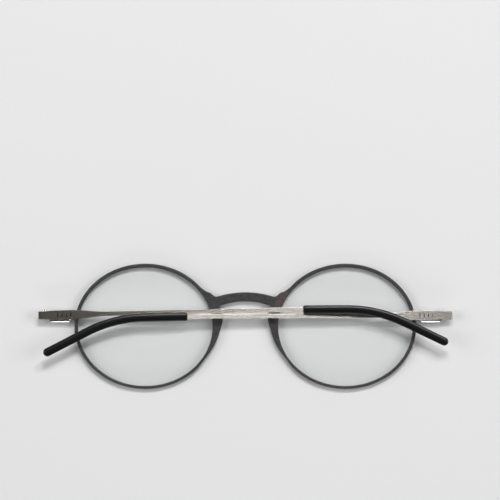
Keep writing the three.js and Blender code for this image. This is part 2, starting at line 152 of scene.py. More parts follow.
# Temples: u from the hinge axis to the tip, v towards the brow, w out of the outside face.
BAND_INSIDE = 1.0
BAND_THICKNESS = 0.5
BAND_EDGE = 0.06
ROOT_END_U = -2.1
ROOT_END_HALF = 1.375
ROOT_HALF = 1.575
ROOT_FULL_U = 4
ROOT_CORNER = 0.35
ROOT_CORNER_STEPS = 7
BAND_STEP = 0.6
TAPER = (9.5, 22)
BAND_HALF = 0.75
BAND_WIDENING_U = 70
BAND_SLEEVE_HALF = 0.82
CORE_HALF = 0.6
CORE_SHOULDER = 1.2
CORE_NARROWING = 0.4
CORE_END = 132
CORE_STEPS = 60
TICKS = 4
TICK_FIRST_U = 4.6
TICK_SPACING = 1.5
TICK_LENGTH = 1.3
TICK_WIDTH = 0.26
TICK_DEPTH = 0.08
TICK_ROUNDNESS = 0.98
# Faces between these shares of a tick's depth are its walls and floor.
TICK_PAINTED = (0.3, 1.1)
TICK_MARGIN = 0.05
SLEEVE_START = 88.8
SLEEVE_HALF = 1.45
SLEEVE_HALF_THICKNESS = 0.65
SLEEVE_CORNER = 0.9
SLEEVE_CORNER_STEPS = 9
SLEEVE_END_INSET = (0.36, 0.15)
SLEEVE_SQUARENESS = 2.3
SLEEVE_SMOOTHING = 50
SLEEVE_RINGS = 70
TIP_START = 0.04
TIP_STEPS = 14
TIP_FULLNESS = 0.6
SECTION_POINTS = 56
POCKET_GAP = 0.03
POCKET_SQUARENESS = 12
POCKET_RINGS = 50
POCKET_STEP = 0.01
DROOP_START = 84
DROOP_ANGLE = math.radians(1.1)
BEND_START = 104
BEND_RADIUS = 44
BEND_ANGLE = math.radians(27)
BEND_END = BEND_START + BEND_RADIUS * (BEND_ANGLE - DROOP_ANGLE)
TEMPLE_LENGTH = 140.6
FOLD_RISE = math.radians(1.5)


# ---- outlines ----

def arc(centre, radii, start, end, count):
    angle = np.linspace(start, end, count + 1)
    return np.column_stack([
        centre[0] + radii[0] * np.cos(angle),
        centre[1] + radii[1] * np.sin(angle),
    ])


def smooth_curve(points, count):
    """A curve through the points, with count pieces between each two of them."""
    points = np.array(points, float)
    padded = np.vstack([points[:1], points, points[-1:]])
    t = np.linspace(0, 1, count, endpoint=False)[:, None]
    parts = []
    for i in range(len(points) - 1):
        before, start, end, after = padded[i:i + 4]
        leave = (end - before) / 2
        arrive = (after - start) / 2
        cubic = 2 * start - 2 * end + leave + arrive
        square = -3 * start + 3 * end - 2 * leave - arrive
        parts.append(cubic * t ** 3 + square * t ** 2 + leave * t + start)
    return np.vstack(parts + [points[-1:]])


def resampled(loop, spacing):
    """The closed outline with its points at an even spacing."""
    closed = np.vstack([loop, loop[:1]])
    steps = np.linalg.norm(np.diff(closed, axis=0), axis=1)
    along = np.concatenate([[0], np.cumsum(steps)])
    at = np.linspace(0, along[-1], round(along[-1] / spacing), endpoint=False)
    return np.column_stack([np.interp(at, along, closed[:, axis]) for axis in (0, 1)])


def softened(loop, rounds):
    """The closed outline with its corners slightly rounded."""
    for _ in range(rounds):
        loop = (np.roll(loop, 1, axis=0) + 2 * loop + np.roll(loop, -1, axis=0)) / 4
    return loop


def rounded_box(low, high, corner, count=8):
    centres = [
        (high[0] - corner, high[1] - corner),
        (low[0] + corner, high[1] - corner),
        (low[0] + corner, low[1] + corner),
        (high[0] - corner, low[1] + corner),
    ]
    corners = [
        arc(centre, (corner, corner), i * QUARTER_TURN, (i + 1) * QUARTER_TURN, count)
        for i, centre in enumerate(centres)
    ]
    return np.vstack(corners)


def edge_profile(low, high, rounding, count=5):
    """From the bottom face to the top face: (distance in from the outline, height)."""
    flat = rounding * FLAT_FACE_SHARE
    angles = np.linspace(0, QUARTER_TURN, count + 1)
    curve = [(rounding * (1 - math.sin(a)), rounding * (1 - math.cos(a))) for a in angles]
    bottom = [(flat, low)] + [(inset, low + rise) for inset, rise in curve]
    top = [(inset, high - rise) for inset, rise in curve[::-1]] + [(flat, high)]
    return bottom + top


# ---- solids, as (points, faces) ----

def signed_area(loop):
    following = np.roll(loop, -1, axis=0)
    return np.sum(loop[:, 0] * following[:, 1] - following[:, 0] * loop[:, 1]) / 2


def outward(loop):
    """Unit normals on the right of the direction of travel."""
    along = np.roll(loop, -1, axis=0) - np.roll(loop, 1, axis=0)
    normal = np.column_stack([along[:, 1], -along[:, 0]])
    return normal / np.linalg.norm(normal, axis=1)[:, None]


def ring_faces(low, high, count):
    return [
        (low + i, low + (i + 1) % count, high + (i + 1) % count, high + i)
        for i in range(count)
    ]


def cap_faces(points, rings, facing_up):
    """Triangles that fill the flat face inside the first ring and outside the others."""
    order = [i for ring in rings for i in ring]
    sides = []
    for ring in rings:
        first = len(sides)
        sides += [(first + i, first + (i + 1) % len(ring)) for i in range(len(ring))]
    flat = points[order, :2]
    starts, ends = flat[[a for a, _ in sides]], flat[[b for _, b in sides]]
    found = delaunay_2d_cdt([Vector(p) for p in flat], sides, [], 0, MERGE_DISTANCE)
    corners, triangles, origins = found[0], found[2], found[3]
    faces = []
    for triangle in triangles:
        middle = np.mean([corners[i] for i in triangle], axis=0)
        spans = (starts[:, 1] > middle[1]) != (ends[:, 1] > middle[1])
        low, high = starts[spans], ends[spans]
        slope = (high[:, 0] - low[:, 0]) / (high[:, 1] - low[:, 1])
        crossings = np.sum(low[:, 0] + slope * (middle[1] - low[:, 1]) > middle[0])
        if crossings % 2:
            face = tuple(order[origins[i][0]] for i in triangle)
            faces.append(face if facing_up else face[::-1])
    return faces


def plate(edges):
    """A flat solid from (outline, edge profile) pairs: the outer edge first, then the holes."""
    points, faces, bottoms, tops = [], [], [], []
    start = 0
    for number, (loop, profile) in enumerate(edges):
        if (signed_area(loop) > 0) != (number == 0):
            loop = loop[::-1]
        normals = outward(loop)
        count = len(loop)
        for inset, height in profile:
            points.append(np.column_stack([loop - normals * inset, np.full(count, height)]))
        last = start + (len(profile) - 1) * count
        for low in range(start, last, count):
            faces += ring_faces(low, low + count, count)
        bottoms.append(range(start, start + count))
        tops.append(range(last, last + count))
        start = last + count
    points = np.vstack(points)
    faces += cap_faces(points, bottoms, False)
    faces += cap_faces(points, tops, True)
    return points, faces


def tube(rings):
    """A closed solid through rings of equally many points, with a fan over each end."""
    count = len(rings[0])
    points = np.vstack(rings)
    faces = []
    for low in range(0, len(points) - count, count):
        faces += ring_faces(low, low + count, count)
    first, last = len(points), len(points) + 1
    end = len(points) - count
    for i in range(count):
        following = (i + 1) % count
        faces.append((first, following, i))
        faces.append((last, end + i, end + following))
    points = np.vstack([points, rings[0].mean(axis=0), rings[-1].mean(axis=0)])
    return points, faces


def turned(profile, count=48):
    """A solid of revolution about the height axis, from (radius, height) pairs."""
    angle = np.linspace(0, FULL_TURN, count, endpoint=False)
    return tube([
        np.column_stack([r * np.cos(angle), r * np.sin(angle), np.full(count, height)])
        for r, height in profile
    ])


def cylinder(radius, low, high):
    return turned([(radius, low), (radius, high)])


def box(low, high):
    outline = np.array([(low[0], low[1]), (high[0], low[1]), (high[0], high[1]), (low[0], high[1])])
    bottom, top = [np.column_stack([outline, np.full(4, z)]) for z in (low[2], high[2])]
    faces = ring_faces(0, 4, 4) + [(3, 2, 1, 0), (4, 5, 6, 7)]
    return np.vstack([bottom, top]), faces


def moved(solid, x=0.0, y=0.0, z=0.0):
    return solid[0] + np.array([x, y, z]), solid[1]


def stood_up(solid):
    """Turned so that its height runs towards the brow and its second axis runs down."""
    points, faces = solid
    return np.column_stack([points[:, 0], points[:, 2], -points[:, 1]]), faces


def laid_down(solid):
    """Turned so that its second axis runs up and its height runs away from the brow."""
    points, faces = solid
    return np.column_stack([points[:, 0], -points[:, 2], points[:, 1]]), faces


def mirrored(solid):
    points, faces = solid
    return points * np.array([-1, 1, 1]), [face[::-1] for face in faces]


def side_of(solid, sign):
    """The solid as it is for the left side, or mirrored for the right side."""
    return solid if sign < 0 else mirrored(solid)


def as_object(solid, name="work"):
    mesh = bpy.data.meshes.new(name)
    mesh.from_pydata([tuple(p) for p in solid[0]], [], solid[1])
    mesh.update()
    made = bpy.data.objects.new(name, mesh)
    bpy.context.scene.collection.objects.link(made)
    return made


def combined(solid, changes):
    """The solid after joins and cuts: changes is a list of ("UNION" or "DIFFERENCE", solid)."""
    base = as_object(solid)
    tools = []
    for operation, other in changes:
        tool = as_object(other)
        tools.append(tool)
        modifier = base.modifiers.new(operation, "BOOLEAN")
        modifier.operation = operation
        modifier.solver = "MANIFOLD"
        modifier.object = tool
    bpy.context.view_layer.update()
    graph = bpy.context.evaluated_depsgraph_get()
    mesh = bpy.data.meshes.new_from_object(base.evaluated_get(graph))
    points = np.array([tuple(v.co) for v in mesh.vertices])
    faces = [tuple(p.vertices) for p in mesh.polygons]
    for work in [base] + tools:
        old = work.data
        bpy.data.objects.remove(work)
        bpy.data.meshes.remove(old)
    bpy.data.meshes.remove(mesh)
    return points, faces


def add_piece(name, solid, place, body, node, materials, smooth_degrees=32):
    """Adds a solid in millimetres as a piece that stands for a CAD node and rides on its body."""
    made = as_object(solid, name)
    mesh = made.data
    flat = [polygon.index for polygon in mesh.polygons if abs(polygon.normal.z) > FLAT_NORMAL]
    mesh.transform(place @ Matrix.Scale(MM, 4))
    for material in materials:
        mesh.materials.append(material)
    mesh.shade_smooth()
    mesh.set_sharp_from_angle(angle=math.radians(smooth_degrees))
    for index in flat:
        mesh.polygons[index].use_smooth = False
    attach(made, body)
    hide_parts(node)
    return made


# ---- materials ----

class Surface:
    """A material on one Principled shader, with short ways to add the usual nodes."""

    def __init__(self, name, **values):
        self.material = bpy.data.materials.new(name)
        self.material.use_nodes = True
        self.tree = self.material.node_tree
        self.shader = self.tree.nodes["Principled BSDF"]
        self.output = self.tree.nodes["Material Output"]
        self.set(self.shader, values)
        coordinates = self.add("ShaderNodeTexCoord")
        self.place = coordinates.outputs["Object"]

    def add(self, kind, **values):
        node = self.tree.nodes.new(kind)
        self.set(node, values)
        return node

    def set(self, node, values):
        for key, value in values.items():
            label = key.replace("_", " ")
            if label in node.inputs:
                self.feed(node.inputs[label], value)
            else:
                setattr(node, key, value)

    def feed(self, socket, value):
        if isinstance(value, bpy.types.NodeSocket):
            self.tree.links.new(value, socket)
        else:
            socket.default_value = value

    def noise(self, scale, detail=3.0, rough=0.5, stretch=(1, 1, 1)):
        """Noise with about `scale` features per metre, stretched by the given factors."""
        mapping = self.add("ShaderNodeMapping")
        self.feed(mapping.inputs["Vector"], self.place)
        mapping.inputs["Scale"].default_value = stretch
        node = self.add("ShaderNodeTexNoise")
        self.feed(node.inputs["Vector"], mapping.outputs["Vector"])
        node.inputs["Scale"].default_value = scale
        node.inputs["Detail"].default_value = detail
        node.inputs["Roughness"].default_value = rough
        return node.outputs["Fac"]

    def ramp(self, value, *stops):
        """A colour ramp with (position, colour) stops."""
        node = self.add("ShaderNodeValToRGB")
        self.feed(node.inputs["Fac"], value)
        elements = node.color_ramp.elements
        for element, (position, colour) in zip(elements, stops[:2]):
            element.position = position
            element.color = (*colour, 1)
        for position, colour in stops[2:]:
            elements.new(position).color = (*colour, 1)
        return node.outputs["Color"]

    def scaled(self, value, low, high, start=0.0, end=1.0):
        node = self.add("ShaderNodeMapRange")
        self.feed(node.inputs["Value"], value)
        node.inputs["From Min"].default_value = start
        node.inputs["From Max"].default_value = end
        node.inputs["To Min"].default_value = low
        node.inputs["To Max"].default_value = high
        return node.outputs["Result"]

    def blend(self, share, first, second):
        node = self.add("ShaderNodeMix", data_type="RGBA")
        self.feed(node.inputs["Factor"], share)
        self.feed(node.inputs["A"], first)
        self.feed(node.inputs["B"], second)
        return node.outputs["Result"]

    def bump(self, height, strength, distance):
        node = self.add("ShaderNodeBump")
        node.inputs["Strength"].default_value = strength
        node.inputs["Distance"].default_value = distance
        self.feed(node.inputs["Height"], height)
        self.feed(self.shader.inputs["Normal"], node.outputs["Normal"])


def frame_plastic():
    """Satin dark grey moulding with a fine grain and a few faint brown flecks."""
    surface = Surface("frame_plastic", Specular_IOR_Level=0.4)
    grain = surface.noise(5200, detail=2.0)
    mottle = surface.noise(1500, detail=4.0)
    fleck = surface.noise(120, detail=1.0)
    body = surface.ramp(mottle, (0.38, (0.032, 0.0315, 0.032)), (0.62, (0.058, 0.0565, 0.0565)))
    share = surface.scaled(fleck, 0.0, 0.38, 0.66, 0.74)
    colour = surface.blend(share, body, (0.13, 0.092, 0.085, 1))
    surface.feed(surface.shader.inputs["Base Color"], colour)
    surface.feed(surface.shader.inputs["Roughness"], surface.scaled(grain, 0.40, 0.56))
    surface.bump(grain, 0.25, 0.00004)
    return surface.material


def temple_steel():
    """Warm grey sheet steel, brushed along the temple."""
    surface = Surface("temple_steel", Metallic=1.0, Anisotropic=1.0)
    lines = surface.noise(1.0, detail=5.0, rough=0.65, stretch=(110, 9000, 9000))
    colour = surface.ramp(lines, (0.3, (0.60, 0.57, 0.515)), (0.7, (0.78, 0.745, 0.68)))
    surface.feed(surface.shader.inputs["Base Color"], colour)
    surface.feed(surface.shader.inputs["Roughness"], surface.scaled(lines, 0.20, 0.24, 0.3, 0.7))
    direction = surface.add("ShaderNodeVectorTransform", vector_type="VECTOR")
    direction.convert_from = "OBJECT"
    direction.convert_to = "WORLD"
    direction.inputs["Vector"].default_value = (0, 1, 0)
    surface.feed(surface.shader.inputs["Tangent"], direction.outputs["Vector"])
    surface.bump(lines, 0.02, 0.00002)
    return surface.material


def tick_steel():
    """The darker inside of the engraved ticks."""
    surface = Surface("tick_steel", Metallic=1.0)
    grain = surface.noise(9000, detail=2.0)
    colour = surface.ramp(grain, (0.3, (0.015, 0.0145, 0.014)), (0.7, (0.035, 0.034, 0.032)))
    surface.feed(surface.shader.inputs["Base Color"], colour)
    surface.feed(surface.shader.inputs["Roughness"], surface.scaled(grain, 0.5, 0.7))
    return surface.material


def hinge_steel():
    """Polished steel with fine hairlines."""
    surface = Surface("hinge_steel", Metallic=1.0)
    lines = surface.noise(1.0, detail=4.0, stretch=(700, 9000, 9000))
    cloud = surface.noise(500, detail=2.0)
    colour = surface.ramp(cloud, (0.3, (0.70, 0.69, 0.68)), (0.7, (0.77, 0.765, 0.755)))
    surface.feed(surface.shader.inputs["Base Color"], colour)
    surface.feed(surface.shader.inputs["Roughness"], surface.scaled(lines, 0.12, 0.26, 0.3, 0.7))
    surface.bump(lines, 0.1, 0.00001)
    return surface.material


def sleeve_rubber():
    """Smooth black rubber with a soft sheen and a very fine skin."""
    surface = Surface("sleeve_rubber", Specular_IOR_Level=0.4)
    skin = surface.noise(3800, detail=3.0)
    cloud = surface.noise(140, detail=3.0)
    colour = surface.ramp(cloud, (0.3, (0.0045, 0.0045, 0.0048)), (0.75, (0.0075, 0.0074, 0.0076)))
    surface.feed(surface.shader.inputs["Base Color"], colour)
    surface.feed(surface.shader.inputs["Roughness"], surface.scaled(skin, 0.26, 0.36))
    surface.bump(skin, 0.12, 0.00002)
    return surface.material


def lens_plastic():
    """Clear polished lens plastic that lets lamps through, with faint unevenness in its polish."""
    surface = Surface("lens_plastic", Transmission_Weight=1.0, IOR=1.5)
    polish = surface.noise(90, detail=2.0)
    colour = surface.ramp(polish, (0.3, (0.975, 0.985, 0.985)), (0.7, (0.985, 0.99, 0.99)))
    surface.feed(surface.shader.inputs["Base Color"], colour)
    surface.feed(surface.shader.inputs["Roughness"], surface.scaled(polish, 0.0, 0.02))
    path = surface.add("ShaderNodeLightPath")
    clear = surface.add("ShaderNodeBsdfTransparent")
    clear.inputs["Color"].default_value = (0.96, 0.965, 0.965, 1)
    shown = surface.shader.outputs["BSDF"]
    for kind in ("Is Shadow Ray", "Is Diffuse Ray"):
        mix = surface.add("ShaderNodeMixShader")
        surface.feed(mix.inputs[0], path.outputs[kind])
        surface.feed(mix.inputs[1], shown)
        surface.feed(mix.inputs[2], clear.outputs["BSDF"])
        shown = mix.outputs["Shader"]
    surface.feed(surface.output.inputs["Surface"], shown)
    return surface.material


def floor_paint():
    surface = Surface("floor_paint", Roughness=0.7)
    cloud = surface.noise(3, detail=2.0)
    colour = surface.ramp(cloud, (0.3, (0.87, 0.87, 0.87)), (0.7, (0.885, 0.885, 0.885)))
    surface.feed(surface.shader.inputs["Base Color"], colour)
    return surface.material


# ---- front moulding ----

def rim_angle_at(height):
    return math.asin((height - RIM_RISE) / RIM[1])


def half_front_outline():
    """The +X half, clockwise from the top of the bridge to its underside."""
    rim_centre = (LENS_X, RIM_RISE)
    bridge_top = arc(
        (0, BRIDGE_TOP - BRIDGE_TOP_RADIUS), (BRIDGE_TOP_RADIUS, BRIDGE_TOP_RADIUS),
        QUARTER_TURN, math.acos(BRIDGE_VALLEY_X / BRIDGE_TOP_RADIUS), BRIDGE_STEPS)
    bridge_under = arc(
        (0, BRIDGE_UNDERSIDE - BRIDGE_UNDER_RADIUS), (BRIDGE_UNDER_RADIUS, BRIDGE_UNDER_RADIUS),
        math.acos(BRIDGE_UNDER_END_X / BRIDGE_UNDER_RADIUS), QUARTER_TURN, BRIDGE_STEPS)
    top = AXIS_Y + ENDPIECE_HALF_HEIGHT
    bottom = AXIS_Y - ENDPIECE_HALF_HEIGHT
    upper_rim = arc(rim_centre, RIM, RIM_START, rim_angle_at(top), RIM_STEPS)
    lower_rim = arc(rim_centre, RIM, rim_angle_at(bottom), RIM_END, RIM_STEPS)
    corner = ENDPIECE_CORNER
    corner_x = ENDPIECE_END_X - corner
    return np.vstack([
        bridge_top,
        smooth_curve([bridge_top[-1], *SHOULDER, upper_rim[0]], SHOULDER_STEPS)[1:],
        upper_rim[1:],
        arc((corner_x, top - corner), (corner, corner), QUARTER_TURN, 0, CORNER_STEPS),
        arc((corner_x, bottom + corner), (corner, corner), 0, -QUARTER_TURN, CORNER_STEPS),
        lower_rim,
        smooth_curve([lower_rim[-1], *NOSE_FLARE, bridge_under[0]], FLARE_STEPS)[1:],
        bridge_under[1:],
    ])


def opening_profile():
    """Edge of a lens opening: rounded at both faces, with the lens groove between."""
    whole = edge_profile(0, FRONT_THICKNESS, FRONT_ROUNDING)
    back = FRONT_THICKNESS - GROOVE_BACK
    squeeze = back / FRONT_ROUNDING
    half = len(whole) // 2
    rounded_back = [
        (inset, FRONT_THICKNESS - (FRONT_THICKNESS - height) * squeeze)
        for inset, height in whole[half:]
    ]
    groove = [
        (0, GROOVE_FRONT),
        (GROOVE_DEPTH, GROOVE_FRONT),
        (GROOVE_DEPTH, GROOVE_BACK),
    ]
    return whole[:half] + groove + rounded_back


def front_moulding():
    half = half_front_outline()
    whole = np.vstack([half, half[1:-1][::-1] * np.array([-1, 1])])
    outline = softened(resampled(whole, OUTLINE_SPACING), OUTLINE_SOFTENING)
    edges = [(outline, edge_profile(0, FRONT_THICKNESS, FRONT_ROUNDING))]
    for sign in (-1, 1):
        around = arc((sign * LENS_X, OPENING_RISE), OPENING, 0, FULL_TURN, OPENING_STEPS)[:-1]
        edges.append((around, opening_profile()))
    low = AXIS_Y - ENDPIECE_HALF_HEIGHT - OVERSHOOT
    high = AXIS_Y + ENDPIECE_HALF_HEIGHT + OVERSHOOT
    far, top = ENDPIECE_END_X + OVERSHOOT, FRONT_THICKNESS + OVERSHOOT
    leaf_bed = box((LEAF_BED_START_X, low, LEAF_BED_Z), (far, high, top))
    knuckle_bed = box((KNUCKLE_BED_START_X, low, KNUCKLE_BED_Z), (far, high, top))
    cuts = []
    for turn in (lambda solid: solid, mirrored):
        cuts += [("DIFFERENCE", turn(leaf_bed)), ("DIFFERENCE", turn(knuckle_bed))]
        for x in RIVET_X.values():
            hole = cylinder(RIVET_RADIUS + HOLE_GAP, LEAF_BED_Z - RIVET_LENGTH - HOLE_GAP, top)
            cuts.append(("DIFFERENCE", turn(moved(hole, x, AXIS_Y))))
    return combined(plate(edges), cuts)


def lens():
    """A lens about its own centre: domed at the front, flat at the back."""
    angle = np.linspace(0, FULL_TURN, LENS_STEPS, endpoint=False)
    size = np.array(OPENING) + GROOVE_DEPTH - LENS_EDGE_GAP
    shares = np.linspace(LENS_FIRST_RING, 1, LENS_RINGS)
    edge_share = 1 - LENS_EDGE_BEVEL / size[0]

    def ring(share, height=None):
        x, y = size[0] * share * np.cos(angle), size[1] * share * np.sin(angle)
        sphere_z = LENS_FRONT_Z + LENS_FRONT_RADIUS
        dome = sphere_z - np.sqrt(LENS_FRONT_RADIUS ** 2 - x ** 2 - y ** 2)
        return np.column_stack([x, y, dome if height is None else np.full(len(x), height)])

    inner_shares = [share for share in shares if share < edge_share] + [edge_share]
    front = [ring(share) for share in inner_shares]
    outer = ring(1)
    outer[:, 2] += LENS_EDGE_BEVEL
    back = [ring(share, LENS_BACK_Z) for share in inner_shares[::-1]]
    rings = front + [outer, ring(1, LENS_BACK_Z - LENS_EDGE_BEVEL)] + back
    return tube(rings)


# ---- hinge leaves, rivets and screws ----

def knuckle(neck_half, neck_top, low, high, fillet):
    """A round knuckle about the hinge axis with a neck up to neck_top, from low to high along it."""
    side = neck_half + fillet
    height = BAND_INSIDE - fillet
    outline = np.vstack([
        arc((0, 0), (KNUCKLE_RADIUS, KNUCKLE_RADIUS), math.pi, FULL_TURN, KNUCKLE_STEPS),
        arc((side, height), (fillet, fillet), math.pi, QUARTER_TURN, FILLET_STEPS),
        [(side, neck_top), (-side, neck_top)],
        arc((-side, height), (fillet, fillet), QUARTER_TURN, 0, FILLET_STEPS),
    ])
    return laid_down(plate([(outline, edge_profile(-high, -low, KNUCKLE_EDGE, 2))]))


def hinge_leaf():
    """For the +X side, with its heights measured from the hinge axis."""
    low = LEAF_BED_Z + SEAT_GAP
    high = low + LEAF_THICKNESS
    outline = rounded_box((LEAF_X[0], LEAF_HEIGHTS[0]), (LEAF_X[1], LEAF_HEIGHTS[1]), LEAF_CORNER)
    inset, drop = LEAF_CHAMFER
    rounded = edge_profile(low, high, LEAF_EDGE, 3)
    lower_edge = rounded[:len(rounded) // 2]
    leaf = plate([(outline, lower_edge + [(0, high - drop), (inset, high)])])
    tongue = box(
        (LEAF_X[1] - LEAF_CORNER, -KNUCKLE_HALF_HEIGHT, low),
        (AXIS_X, KNUCKLE_HALF_HEIGHT, high))
    barrel = stood_up(turned([
        (KNUCKLE_RADIUS - KNUCKLE_EDGE, -KNUCKLE_HALF_HEIGHT),
        (KNUCKLE_RADIUS, -KNUCKLE_HALF_HEIGHT + KNUCKLE_EDGE),
        (KNUCKLE_RADIUS, KNUCKLE_HALF_HEIGHT - KNUCKLE_EDGE),
        (KNUCKLE_RADIUS - KNUCKLE_EDGE, KNUCKLE_HALF_HEIGHT),
    ]))
    bore = stood_up(cylinder(BORE_RADIUS, -OVERSHOOT, OVERSHOOT))
    changes = [
        ("UNION", tongue),
        ("UNION", moved(barrel, AXIS_X, 0, AXIS_Z)),
        ("DIFFERENCE", moved(bore, AXIS_X, 0, AXIS_Z)),
    ]
    for x in RIVET_X.values():
        hole = cylinder(RIVET_RADIUS + HOLE_GAP, low - OVERSHOOT, high + OVERSHOOT)
        changes.append(("DIFFERENCE", moved(hole, x)))
    return combined(leaf, changes)


def rivet():
    radius, height = RIVET_HEAD
    seat = LEAF_BED_Z + LEAF_THICKNESS + 2 * SEAT_GAP
    foot = LEAF_BED_Z - RIVET_LENGTH
    dome = [
        (radius * math.cos(a), seat + height * math.sin(a))
        for a in np.linspace(0, QUARTER_TURN, DOME_STEPS)[:-1]
    ]
    return turned([(RIVET_RADIUS, foot), (RIVET_RADIUS, seat), *dome, (DOME_TIP, seat + height)])


def screw():
    """The hinge pin along v, with its slotted head on the brow side."""
    seat = ROOT_END_HALF + SEAT_GAP
    top = seat + SCREW_HEAD_HEIGHT
    edge = SCREW_HEAD_EDGE
    rounded = [
        (SCREW_HEAD_RADIUS - edge * (1 - math.cos(a)), top - edge * (1 - math.sin(a)))
        for a in np.linspace(0, QUARTER_TURN, SCREW_EDGE_STEPS)
    ]
    profile = [
        (PIN_RADIUS, -ROOT_END_HALF),
        (PIN_RADIUS, seat),
        (SCREW_HEAD_RADIUS, seat),
        *rounded,
    ]
    width, depth = SCREW_SLOT
    slot = box((-OVERSHOOT, top - depth, -width / 2), (OVERSHOOT, top + OVERSHOOT, width / 2))
    return combined(stood_up(turned(profile)), [("DIFFERENCE", slot)])


# ---- temples ----

def centre_line(distance):
    """u, v and the angle of the temple's centre line at a distance along it."""
    droop = min(max(distance - DROOP_START, 0), BEND_START - DROOP_START)
    u = min(distance, DROOP_START) + droop * math.cos(DROOP_ANGLE)
    v = -droop * math.sin(DROOP_ANGLE)
    if distance <= BEND_START:
        return u, v, -DROOP_ANGLE if distance > DROOP_START else 0.0
    angle = DROOP_ANGLE + (min(distance, BEND_END) - BEND_START) / BEND_RADIUS
    u += BEND_RADIUS * (math.sin(angle) - math.sin(DROOP_ANGLE))
    v -= BEND_RADIUS * (math.cos(DROOP_ANGLE) - math.cos(angle))
    straight = max(distance - BEND_END, 0)
    return u + straight * math.cos(angle), v - straight * math.sin(angle), -angle


def beside(distance, side):
    u, v, angle = centre_line(distance)
    return u - side * math.sin(angle), v + side * math.cos(angle)


def strip(halves):
    """The outline of a strip from (distance, half width) pairs along the centre line."""
    upper = [beside(distance, half) for distance, half in halves]
    lower = [beside(distance, -half) for distance, half in halves]
    return np.array(lower + upper[::-1])


def eased(low, high, start, end, at):
    share = min(max((at - start) / (end - start), 0), 1)
    return low + (high - low) * share * share * (3 - 2 * share)


def band_half(distance):
    if distance < ROOT_FULL_U:
        return eased(ROOT_END_HALF, ROOT_HALF, 0, ROOT_FULL_U, distance)
    if distance < BAND_WIDENING_U:
        return eased(ROOT_HALF, BAND_HALF, *TAPER, distance)
    return eased(BAND_HALF, BAND_SLEEVE_HALF, BAND_WIDENING_U, SLEEVE_START, distance)


def band():
    """The steel of a temple, with its knuckles and the core that runs in the sleeve."""
    corner = ROOT_CORNER
    root_end = [
        (ROOT_END_U + corner * (1 - math.cos(a)), ROOT_END_HALF - corner * (1 - math.sin(a)))
        for a in np.linspace(0, QUARTER_TURN, ROOT_CORNER_STEPS)
    ]
    end = SLEEVE_START + CORE_SHOULDER
    body = [(d, band_half(d)) for d in np.arange(0, end + BAND_STEP / 2, BAND_STEP)]
    core = [(d, CORE_HALF) for d in np.linspace(end + CORE_NARROWING, CORE_END, CORE_STEPS)]
    outline = strip(root_end + body + core)
    face = BAND_INSIDE + BAND_THICKNESS
    flat = plate([(outline, edge_profile(BAND_INSIDE, face, BAND_EDGE, 4))])
    inner = KNUCKLE_HALF_HEIGHT + KNUCKLE_GAP
    middle = BAND_INSIDE + BAND_THICKNESS / 2
    changes = []
    for low, high in ((inner, ROOT_END_HALF), (-ROOT_END_HALF, -inner)):
        made = knuckle(KNUCKLE_RADIUS, middle, low, high, KNUCKLE_FILLET)
        changes.append(("UNION", made))
    reach = ROOT_END_HALF + OVERSHOOT
    changes.append(("DIFFERENCE", stood_up(cylinder(BORE_RADIUS, -reach, reach))))
    for i in range(TICKS):
        u = TICK_FIRST_U + i * TICK_SPACING
        low = (u - TICK_WIDTH / 2, -TICK_LENGTH / 2)
        high = (u + TICK_WIDTH / 2, TICK_LENGTH / 2)
        around = rounded_box(low, high, TICK_WIDTH / 2 * TICK_ROUNDNESS, 4)
        tick = plate([(around, [(0, face - TICK_DEPTH), (0, face + OVERSHOOT)])])
        changes.append(("DIFFERENCE", tick))
    return combined(flat, changes)


def section(distance, half_width, half_thickness, squareness):
    """A rounded section across the centre line: squareness 2 is an ellipse."""
    angle = np.linspace(0, FULL_TURN, SECTION_POINTS, endpoint=False)
    power = 2 / squareness
    across = half_width * np.sign(np.cos(angle)) * np.abs(np.cos(angle)) ** power
    up = half_thickness * np.sign(np.sin(angle)) * np.abs(np.sin(angle)) ** power
    places = np.array([beside(distance, side) for side in across])
    middle = BAND_INSIDE + BAND_THICKNESS / 2
    return np.column_stack([places, middle + up])


def sleeve():
    """The rubber sleeve: round at the tip, flat at the other end, with a pocket for the core."""
    half, thick, square = SLEEVE_HALF, SLEEVE_HALF_THICKNESS, SLEEVE_SQUARENESS
    in_width, in_thickness = SLEEVE_END_INSET
    pocket_height = BAND_THICKNESS / 2 + POCKET_GAP
    mouth = (BAND_SLEEVE_HALF + POCKET_GAP, pocket_height, POCKET_SQUARENESS)
    core = (CORE_HALF + POCKET_GAP, pocket_height, POCKET_SQUARENESS)
    shoulder = SLEEVE_START + CORE_SHOULDER + CORE_NARROWING + POCKET_GAP
    tip = TEMPLE_LENGTH - half
    rings = []
    for a in np.linspace(TIP_START, QUARTER_TURN, TIP_STEPS):
        distance = TEMPLE_LENGTH - half * (1 - math.cos(a))
        width, height = half * math.sin(a), thick * math.sin(a) ** TIP_FULLNESS
        rings.append(section(distance, width, height, square))
    for distance in np.linspace(tip, SLEEVE_START + SLEEVE_CORNER, SLEEVE_RINGS)[1:]:
        rings.append(section(distance, half, thick, square))
    for a in np.linspace(0, QUARTER_TURN, SLEEVE_CORNER_STEPS)[1:]:
        distance = SLEEVE_START + SLEEVE_CORNER * (1 - math.sin(a))
        pull = 1 - math.cos(a)
        rings.append(section(distance, half - in_width * pull, thick - in_thickness * pull, square))
    rings.append(section(SLEEVE_START, *mouth))
    rings.append(section(shoulder, *mouth))
    for distance in np.linspace(shoulder + POCKET_STEP, CORE_END + POCKET_GAP, POCKET_RINGS):
        rings.append(section(distance, *core))
    return tube([ring[::-1] for ring in rings])


# ---- assembly ----

row_shift = -(BRIDGE_TOP + BRIDGE_UNDERSIDE) / 2
front_place = Matrix.Translation((0, row_shift * MM, 0))
joints = {joint["child"]: joint for joint in frame["joints"]}

